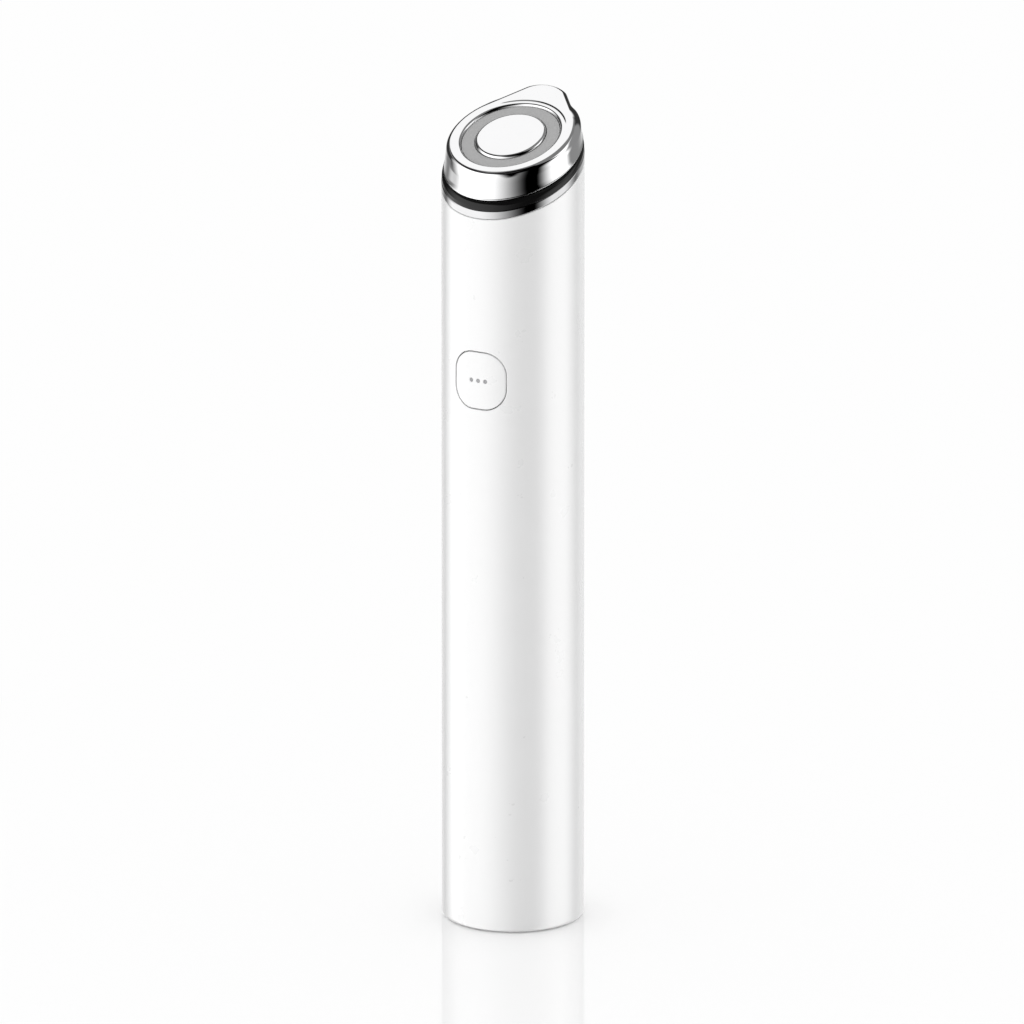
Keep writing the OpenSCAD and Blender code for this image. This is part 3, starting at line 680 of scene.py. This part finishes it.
def build_button():
    """Flush press button: a cap with a rolled edge and three dot holes, its flange and its post."""
    outline = Outline(BUTTON_W, BUTTON_H, BUTTON_CORNER, arc_steps=20)
    n = len(outline)
    cap_edge = -BUTTON_GAP
    flat_edge = cap_edge - CAP_ROUND - CAP_FLAT_IN
    holes = [((i * DOT_PITCH, 0.0), DOT_R + DOT_FIT, DOT_POINTS) for i in (-1, 0, 1)]
    flat, inside = fill_outline(outline.grown(flat_edge), holes, CAP_GRID)
    points = []

    def lay(flat_points, r):
        """Adds points of the front view at that radius, and returns where they start."""
        points.extend(on_cylinder(np.asarray(flat_points) + [0, BUTTON_Z], r))
        return len(points) - len(flat_points)

    front = lay(flat, BARREL_R)
    faces = [tuple(front + i for i in tri) for tri in inside]
    loops = [lay(outline.grown(flat_edge), BARREL_R)]
    for a in np.radians(np.linspace(0, 90, 6)):
        grow = cap_edge - CAP_ROUND * (1 - math.sin(a))
        loops.append(lay(outline.grown(grow), BARREL_R - CAP_ROUND * (1 - math.cos(a))))
    for grow, r in ((cap_edge, FLANGE_R), (FLANGE_W, FLANGE_R), (FLANGE_W, CAP_BACK_R),
                    (flat_edge, CAP_BACK_R)):
        loops.append(lay(outline.grown(grow), r))
    for a, b in zip(loops, loops[1:]):
        faces += bridge(a, b, n)
    back = lay(flat, CAP_BACK_R)
    faces += [tuple(back + i for i in reversed(tri)) for tri in inside]
    for hole in holes:
        rim = circle_points(*hole)
        faces += bridge(lay(rim, BARREL_R), lay(rim, CAP_BACK_R), len(rim))
    cap = make_piece("button_face", points, faces, "button", "white_gloss", ["button_cap"])
    root = -CAP_BACK_R - 0.1
    length = POST_TIP_Y - root
    post, post_faces = turned([(AXIS_R, 0), (POST_R, 0), (POST_R, length), (AXIS_R, length)], 48)
    post = np.column_stack([post[:, 0], post[:, 2] + root, post[:, 1] + POST_Z])
    return cap, make_piece("button_post", post, post_faces, "button", "white_gloss")


def build_dots():
    """Three light guides with slightly domed ends, just under the button's surface."""
    points, faces = [], []
    profile = [(0.001, 0), (DOT_R * 0.5, -0.25 * DOT_DOME), (DOT_R * 0.8, -0.64 * DOT_DOME),
               (DOT_R - 0.01, -DOT_DOME), (DOT_R, -DOT_DOME - 0.02), (DOT_R, -DOT_LENGTH),
               (0.001, -DOT_LENGTH)]
    ring, quads = turned(profile, 40)
    for x in (-DOT_PITCH, 0, DOT_PITCH):
        front = -math.sqrt(BARREL_R ** 2 - (abs(x) + DOT_R) ** 2) + DOT_SINK
        faces += [tuple(len(points) + k for k in quad) for quad in quads]
        points += [(x + p[0], front - p[2], BUTTON_Z + p[1]) for p in ring]
    return make_piece("button_dots", points, faces, "button", "dot_grey", ["indicator_windows"])


def port_outline():
    """Outline of the charging socket."""
    return Outline(PORT_W, PORT_T, PORT_T / 2 - 0.1, arc_steps=10)


def build_foot_pad():
    """Soft foot pad with round edges and the socket's slot."""
    slot = port_outline()
    n = len(slot)
    spokes = slot.grown() / np.linalg.norm(slot.grown(), axis=1)[:, None]
    edge = PAD_ROUND
    rows = []
    for a in np.radians(np.linspace(0, 90, 5)):
        rows.append((slot.grown(PORT_PLAY + edge * (1 - math.cos(a))), edge * (1 - math.sin(a))))
    for t in (0.3, 0.7):
        rows.append((slot.grown(PORT_PLAY + edge) * (1 - t) + spokes * (PAD_R - edge) * t, 0))
    for a in np.radians(np.linspace(0, 90, 6)):
        rows.append((spokes * (PAD_R - edge * (1 - math.sin(a))), edge * (1 - math.cos(a))))
    rows.append((spokes * PAD_R, PAD_T))
    rows.append((slot.grown(PORT_PLAY), PAD_T))
    points = np.concatenate([np.column_stack([flat, np.full(n, z)]) for flat, z in rows])
    faces = ring_faces(len(rows), n)
    return make_piece("foot_pad", points, faces, "housing", "foot_grey", ["base_pad"])


def mesh_parts(mesh):
    """Points and faces of a bmesh, which is then freed."""
    mesh.verts.index_update()
    points = [tuple(v.co) for v in mesh.verts]
    faces = [tuple(v.index for v in f.verts) for f in mesh.faces]
    mesh.free()
    return points, faces


def add_block(mesh, low, high, bevel=0.0):
    """Adds a block between two corners to a bmesh, with bevelled edges."""
    made = bmesh.ops.create_cube(mesh, size=1)["verts"]
    low, high = Vector(low), Vector(high)
    for v in made:
        v.co = Vector([(a + b) / 2 + c * (b - a) for a, b, c in zip(low, high, v.co)])
    if bevel:
        edges = list({e for v in made for e in v.link_edges})
        bmesh.ops.bevel(mesh, geom=edges, offset=bevel, segments=2, affect="EDGES")


def build_socket():
    """Metal shell of the charging socket with a rounded mouth, its tongue and the tongue's contacts."""
    outline = port_outline()
    n = len(outline)
    high = PORT_LOW + PORT_L
    rows = [(0, high), (0, PORT_LOW + 0.15), (-0.05, PORT_LOW + 0.03), (-0.15, PORT_LOW),
            (-PORT_WALL + 0.05, PORT_LOW + 0.03), (-PORT_WALL, PORT_LOW + 0.15), (-PORT_WALL, high)]
    points = np.concatenate([np.column_stack([outline.grown(g), np.full(n, z)]) for g, z in rows])
    shell = make_piece("socket_shell", points, ring_faces(len(rows), n), "housing", "steel", ["usb_shell"])

    half_w, half_t = TONGUE_HALF
    tongue = bmesh.new()
    add_block(tongue, (-half_w, -half_t, PORT_LOW + 0.9), (half_w, half_t, high - SEAT_T), TONGUE_ROUND)
    add_block(tongue, (-SEAT_HALF[0], -SEAT_HALF[1], high - SEAT_T), (*SEAT_HALF, high))
    tongue_piece = make_piece("socket_tongue", *mesh_parts(tongue), "housing", "chip_black", ["usb_tongue"])

    contacts = bmesh.new()
    for i in range(CONTACTS):
        x = (i - (CONTACTS - 1) / 2) * CONTACT_PITCH
        for y in (-half_t - CONTACT_PROUD, half_t):
            add_block(contacts, (x - CONTACT_HALF_W, y, PORT_LOW + 1.3),
                      (x + CONTACT_HALF_W, y + CONTACT_PROUD, high - 1.3))
    return shell, tongue_piece, make_piece("socket_contacts", *mesh_parts(contacts), "housing", "gold_plate")


# Materials

def new_material(name):
    """A material with its tree and its shader."""
    material = bpy.data.materials.new(name)
    material.use_nodes = True
    shader = material.node_tree.nodes["Principled BSDF"]
    return material, material.node_tree, shader


def noise(tree, scale, detail, roughness=0.55):
    """A noise texture in the object's own place, with its scale per metre."""
    place = tree.nodes.new("ShaderNodeTexCoord")
    texture = tree.nodes.new("ShaderNodeTexNoise")
    texture.inputs["Scale"].default_value = scale
    texture.inputs["Detail"].default_value = detail
    texture.inputs["Roughness"].default_value = roughness
    tree.links.new(place.outputs["Object"], texture.inputs["Vector"])
    return texture.outputs["Fac"]


def mapped(tree, value, ends, kind="LINEAR"):
    """A value mapped from one range to another, which are given by the names of the node's inputs."""
    spread = tree.nodes.new("ShaderNodeMapRange")
    spread.interpolation_type = kind
    for key, end in ends.items():
        spread.inputs[key].default_value = end
    tree.links.new(value, spread.inputs["Value"])
    return spread.outputs["Result"]


def tinted(tree, value, low, high):
    """A colour between two colours."""
    mix = tree.nodes.new("ShaderNodeMix")
    mix.data_type = "RGBA"
    mix.inputs["A"].default_value = (*low, 1)
    mix.inputs["B"].default_value = (*high, 1)
    tree.links.new(value, mix.inputs["Factor"])
    return mix.outputs["Result"]


def moulded(name, low, high, rough, metallic=0.0, bump=0.0, grain=9000, patch=160, coat=0.0,
            coat_rough=0.1, spec=0.5):
    """A material whose colour and gloss drift a little over the surface, with a fine grain in its relief."""
    material, tree, shader = new_material(name)
    shader.inputs["Metallic"].default_value = metallic
    shader.inputs["Specular IOR Level"].default_value = spec
    shader.inputs["Coat Weight"].default_value = coat
    shader.inputs["Coat Roughness"].default_value = coat_rough
    patches = noise(tree, patch, 4.0)
    tree.links.new(tinted(tree, patches, low, high), shader.inputs["Base Color"])
    drift = mapped(tree, patches, {"From Min": 0.3, "From Max": 0.7, "To Min": rough[0], "To Max": rough[1]})
    tree.links.new(drift, shader.inputs["Roughness"])
    if bump:
        relief = tree.nodes.new("ShaderNodeBump")
        relief.inputs["Strength"].default_value = 1.0
        relief.inputs["Distance"].default_value = bump
        tree.links.new(noise(tree, grain, 2.0), relief.inputs["Height"])
        tree.links.new(relief.outputs["Normal"], shader.inputs["Normal"])
    return material


# Each material's darkest and lightest colour, range of roughness and the rest. bump is a height in metres
MATERIALS = {
    "white_gloss": ((0.84, 0.84, 0.84), (0.86, 0.86, 0.86), (0.27, 0.31),
                    {"bump": 2e-7, "coat": 1.0, "coat_rough": 0.25, "spec": 1.0}),
    "polished_chrome": ((0.55, 0.55, 0.553), (0.58, 0.58, 0.583), (0.035, 0.06),
                        {"metallic": 1.0, "bump": 2e-8, "grain": 4000}),
    "black_plastic": ((0.003, 0.003, 0.003), (0.006, 0.006, 0.006), (0.1, 0.16), {"spec": 0.2}),
    # the collar's chrome: a darker, slightly rougher copy of polished_chrome, whose lower colour is painted
    # shade
    "shaded_chrome": ((0.35, 0.35, 0.353), (0.38, 0.38, 0.383), (0.05, 0.08),
                     {"metallic": 1.0, "bump": 2e-8, "grain": 4000}),
    "black_rubber": ((0.012, 0.012, 0.012), (0.02, 0.02, 0.02), (0.6, 0.75), {"bump": 2e-6}),
    "frosted_grey": ((0.40, 0.40, 0.40), (0.46, 0.46, 0.46), (0.5, 0.6),
                     {"bump": 2e-6, "grain": 12000, "patch": 500}),
    "dot_grey": ((0.37, 0.37, 0.38), (0.43, 0.43, 0.44), (0.45, 0.55), {"bump": 1e-6}),
    "foot_grey": ((0.50, 0.50, 0.50), (0.56, 0.56, 0.56), (0.6, 0.75), {"bump": 4e-6, "grain": 6000}),
    "board_green": ((0.01, 0.09, 0.04), (0.02, 0.13, 0.06), (0.3, 0.4), {"bump": 4e-6, "grain": 900}),
    "gold_plate": ((0.83, 0.62, 0.25), (0.88, 0.68, 0.3), (0.15, 0.25), {"metallic": 1.0}),
    "steel": ((0.55, 0.55, 0.56), (0.65, 0.65, 0.66), (0.2, 0.35), {"metallic": 1.0, "bump": 1e-6}),
    "weight_metal": ((0.3, 0.3, 0.31), (0.4, 0.4, 0.41), (0.4, 0.5), {"metallic": 1.0, "bump": 4e-6}),
    "led_package": ((0.85, 0.8, 0.55), (0.9, 0.88, 0.7), (0.3, 0.4), {}),
    "chip_black": ((0.01, 0.01, 0.011), (0.02, 0.02, 0.021), (0.45, 0.6), {"bump": 3e-6}),
    "ferrite": ((0.03, 0.03, 0.032), (0.06, 0.06, 0.065), (0.5, 0.65), {"bump": 6e-6, "grain": 3000}),
    "ivory_plastic": ((0.75, 0.7, 0.58), (0.8, 0.76, 0.65), (0.35, 0.45), {"bump": 1e-6}),
    "frame_plastic": ((0.6, 0.6, 0.59), (0.66, 0.66, 0.65), (0.45, 0.55), {"bump": 3e-6}),
    "cell_case": ((0.05, 0.14, 0.3), (0.07, 0.18, 0.36), (0.25, 0.35), {"bump": 2e-6, "grain": 800}),
    "foam": ((0.02, 0.025, 0.025), (0.04, 0.05, 0.05), (0.85, 0.95), {"bump": 4e-5, "grain": 4000}),
    "lead_insulation": ((0.3, 0.02, 0.02), (0.4, 0.03, 0.03), (0.4, 0.5), {}),
}

# Pieces whose material is a darker, slightly rougher copy of their slot's: the collar's darker chrome colour
# is painted shade
OWN_FINISH = {"collar_band": "shaded_chrome"}


def paint():
    """Gives every piece and every carried-over node the material of its slot."""
    materials = {name: moulded(name, low, high, rough, **rest)
                 for name, (low, high, rough, rest) in MATERIALS.items()}
    slot_of = {s["node"]: s["material_slot"] for s in frame["record"]["subparts"]}
    for name, node in frame["nodes"].items():
        node.data.materials.clear()
        node.data.materials.append(materials[slot_of[name]])
    for piece in bpy.context.scene.objects:
        if piece.type == "MESH" and "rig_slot" in piece:
            piece.data.materials.clear()
            piece.data.materials.append(materials[OWN_FINISH.get(piece.name, piece["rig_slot"])])


# Studio

def back_vector(azimuth, elevation):
    """From the target towards a camera at that azimuth and elevation."""
    return Vector((math.sin(azimuth) * math.cos(elevation), -math.cos(azimuth) * math.cos(elevation),
                   math.sin(elevation)))


def make_camera():
    """The photograph's camera, far off, so that the view is nearly parallel."""
    camera_data = bpy.data.cameras.new("photo_camera")
    camera = bpy.data.objects.new("photo_camera", camera_data)
    bpy.context.scene.collection.objects.link(camera)
    back = back_vector(CAMERA_AZIMUTH, CAMERA_ELEVATION)
    right = Vector((math.cos(CAMERA_AZIMUTH), math.sin(CAMERA_AZIMUTH), 0))
    offset = (AXIS_PX - PHOTO_PX / 2) / PX_PER_MM
    target = Vector((0, 0, TARGET_Z)) - right * offset
    camera.location = (target + back * CAMERA_DISTANCE) * MM
    camera.rotation_euler = (-back).to_track_quat("-Z", "Y").to_euler()
    camera_data.sensor_width = SENSOR
    camera_data.lens = PX_PER_MM * CAMERA_DISTANCE / PHOTO_PX * SENSOR
    camera_data.clip_start = 0.1
    camera_data.clip_end = 100
    bpy.context.scene.camera = camera


class Sky:
    """World shader made of soft-edged panels, each placed by azimuth and elevation in degrees."""

    def __init__(self, tree, level):
        self.tree = tree
        self.level = level
        place = tree.nodes.new("ShaderNodeTexCoord")
        parts = tree.nodes.new("ShaderNodeSeparateXYZ")
        tree.links.new(place.outputs["Generated"], parts.inputs["Vector"])
        x, y, z = parts.outputs
        self.azimuth = self.math("DEGREES", self.math("ARCTAN2", x, self.math("MULTIPLY", y, -1.0)))
        self.elevation = self.math("DEGREES", self.math("ARCSINE", z))

    def math(self, operation, *values):
        node = self.tree.nodes.new("ShaderNodeMath")
        node.operation = operation
        for socket, value in zip(node.inputs, values):
            if isinstance(value, (int, float)):
                socket.default_value = value
            else:
                self.tree.links.new(value, socket)
        return node.outputs[0]

    def edge(self, value, start, end):
        """0 at start and 1 at end, smooth between them."""
        return mapped(self.tree, value, {"From Min": start, "From Max": end}, "SMOOTHSTEP")

    def panel(self, level, across, up, soft_across, soft_up, lean):
        """Lays a panel of that level over what is there."""
        middle = sum(across) / 2
        half = (across[1] - across[0]) / 2
        turn = self.math("WRAP", self.math("SUBTRACT", self.azimuth, middle), 180.0, -180.0)
        if lean:
            turn = self.math("SUBTRACT", turn, self.math("MULTIPLY", self.elevation, lean))
        mask = self.math("MULTIPLY", self.edge(turn, -half - soft_across[0], -half),
                         self.edge(turn, half + soft_across[1], half))
        mask = self.math("MULTIPLY", mask, self.edge(self.elevation, up[0] - soft_up[0], up[0]))
        mask = self.math("MULTIPLY", mask, self.edge(self.elevation, up[1] + soft_up[1], up[1]))
        keep = self.math("MULTIPLY", self.level, self.math("SUBTRACT", 1.0, mask))
        self.level = self.math("ADD", keep, self.math("MULTIPLY", mask, level))


SKY_LEVEL = 0.33

# Panels, each over those before: level, then its full part by azimuth and by elevation, the widths of the
# soft edges outside it, and how many degrees of azimuth it leans for each degree of elevation
PANELS = [
    # dark over the lamps
    (0.03, (-180, 180), (58, 90), (0, 0), (8, 0), 0),
    # black card
    (0.0, (-40, 110), (-60, 28), (10, 12), (25, 6), 0),
    # right softbox
    (0.85, (172, 225), (-60, -14), (22, 26), (25, 8), 0),
    (2.1, (98, 118), (-50, 38), (34, 36), (25, 8), 0),
    (0.42, (136, 215), (-8, 30), (14, 20), (6, 8), 0),
    # left softbox, wider below
    (2.5, (-58, -32), (-60, 38), (34, 80), (25, 7), -0.15),
    (2.5, (-84, -50), (-60, -12), (26, 20), (25, 6), 0),
    # dark room over them
    (0.0, (47, 128), (22, 75), (14, 10), (6, 6), -1.4),
    (0.05, (-112, 5), (46, 58), (6, 20), (6, 6), 0),
    (0.05, (-188, -94), (2, 34), (8, 8), (8, 4), 0),
    # softbox that the face shows
    (1.66, (-170, -121), (40, 66), (12, 5), (4, 6), 0),
    # what the floor shows
    (1.0, (-156, -146), (11, 21), (3, 3), (3, 3), 0),
]


def make_world():
    """A white room with softboxes and dark cards, which the camera sees as plain white."""
    world = bpy.data.worlds.new("studio")
    bpy.context.scene.world = world
    world.use_nodes = True
    tree = world.node_tree
    sky = Sky(tree, SKY_LEVEL)
    for values in PANELS:
        sky.panel(*values)
    background = tree.nodes["Background"]
    tree.links.new(sky.level, background.inputs["Strength"])
    background.inputs["Color"].default_value = (1, 1, 1, 1)
    white = tree.nodes.new("ShaderNodeBackground")
    white.inputs["Color"].default_value = (1, 1, 1, 1)
    white.inputs["Strength"].default_value = BACKDROP
    path = tree.nodes.new("ShaderNodeLightPath")
    mix = tree.nodes.new("ShaderNodeMixShader")
    tree.links.new(path.outputs["Is Camera Ray"], mix.inputs["Fac"])
    tree.links.new(background.outputs["Background"], mix.inputs[1])
    tree.links.new(white.outputs["Background"], mix.inputs[2])
    tree.links.new(mix.outputs["Shader"], tree.nodes["World Output"].inputs["Surface"])
    world.cycles_visibility.diffuse = False


def make_dome():
    """Even soft light from all round, for what isn't glossy."""
    bpy.ops.mesh.primitive_uv_sphere_add(segments=48, ring_count=24, radius=DOME_R * MM)
    dome = bpy.context.object
    dome.name = "light_dome"
    dome.visible_camera = False
    dome.visible_glossy = False
    dome.visible_transmission = False
    material = bpy.data.materials.new("light_dome")
    material.use_nodes = True
    tree = material.node_tree
    tree.nodes.clear()
    glow = tree.nodes.new("ShaderNodeEmission")
    glow.inputs["Strength"].default_value = DOME_LEVEL
    out = tree.nodes.new("ShaderNodeOutputMaterial")
    tree.links.new(glow.outputs[0], out.inputs["Surface"])
    dome.data.materials.append(material)


def make_floor():
    """Pale glossy floor round the foot, which fades into the plain white of the backdrop."""
    bpy.ops.mesh.primitive_circle_add(vertices=128, radius=FLOOR_R * MM, fill_type="NGON")
    floor = bpy.context.object
    floor.name = "floor"
    material = bpy.data.materials.new("floor")
    material.use_nodes = True
    tree = material.node_tree
    tree.nodes.clear()

    def node(kind, **values):
        made = tree.nodes.new(kind)
        for key, value in values.items():
            made.inputs[key].default_value = value
        return made

    out = node("ShaderNodeOutputMaterial")
    path = node("ShaderNodeLightPath")
    place = node("ShaderNodeTexCoord")
    length = tree.nodes.new("ShaderNodeVectorMath")
    length.operation = "LENGTH"
    tree.links.new(place.outputs["Object"], length.inputs[0])

    def fade(near, far):
        ends = {"From Min": near * MM, "From Max": far * MM}
        return mapped(tree, length.outputs["Value"], ends, "SMOOTHSTEP")

    def mixed(factor, first, second):
        made = tree.nodes.new("ShaderNodeMixShader")
        if isinstance(factor, float):
            made.inputs["Fac"].default_value = factor
        else:
            tree.links.new(factor, made.inputs["Fac"])
        tree.links.new(first, made.inputs[1])
        tree.links.new(second, made.inputs[2])
        return made.outputs["Shader"]

    def scaled(value, low, high):
        return mapped(tree, value, {"To Min": low, "To Max": high})

    # The share of real shade is full under the foot and lower further out, and plain light makes up the rest
    away = fade(SHADE_NEAR, SHADE_FAR)
    white = node("ShaderNodeEmission", Color=(1, 1, 1, 1), Strength=BACKDROP).outputs[0]
    lit = node("ShaderNodeBsdfDiffuse")
    tree.links.new(scaled(away, FLOOR_COLOUR, FLOOR_COLOUR * FLOOR_SHADE), lit.inputs["Color"])
    fill = node("ShaderNodeEmission", Color=(1, 1, 1, 1))
    full = FLOOR_COLOUR * DOME_LEVEL
    tree.links.new(scaled(away, BACKDROP - full, BACKDROP - full * FLOOR_SHADE), fill.inputs["Strength"])
    both = node("ShaderNodeAddShader")
    tree.links.new(lit.outputs[0], both.inputs[0])
    tree.links.new(fill.outputs[0], both.inputs[1])
    gloss = node("ShaderNodeBsdfGlossy", Color=(1, 1, 1, 1), Roughness=FLOOR_ROUGH).outputs[0]
    clear = node("ShaderNodeBsdfTransparent").outputs[0]
    near = mixed(FLOOR_GLOSS, both.outputs[0], gloss)
    seen = mixed(fade(*FLOOR_FADE), near, white)
    plain = node("ShaderNodeBsdfDiffuse", Color=(FLOOR_COLOUR,) * 3 + (1,)).outputs[0]
    bounced = mixed(path.outputs["Is Glossy Ray"], plain, clear)
    tree.links.new(mixed(path.outputs["Is Camera Ray"], bounced, seen), out.inputs["Surface"])
    floor.data.materials.append(material)


def main():
    make_camera()
    build_barrel()
    build_collar()
    build_insulator()
    build_head()
    build_light_ring()
    build_centre_disc()
    build_button()
    build_dots()
    build_foot_pad()
    build_socket()
    paint()
    make_world()
    make_dome()
    make_floor()
    bpy.context.scene.view_settings.view_transform = "Standard"


main()
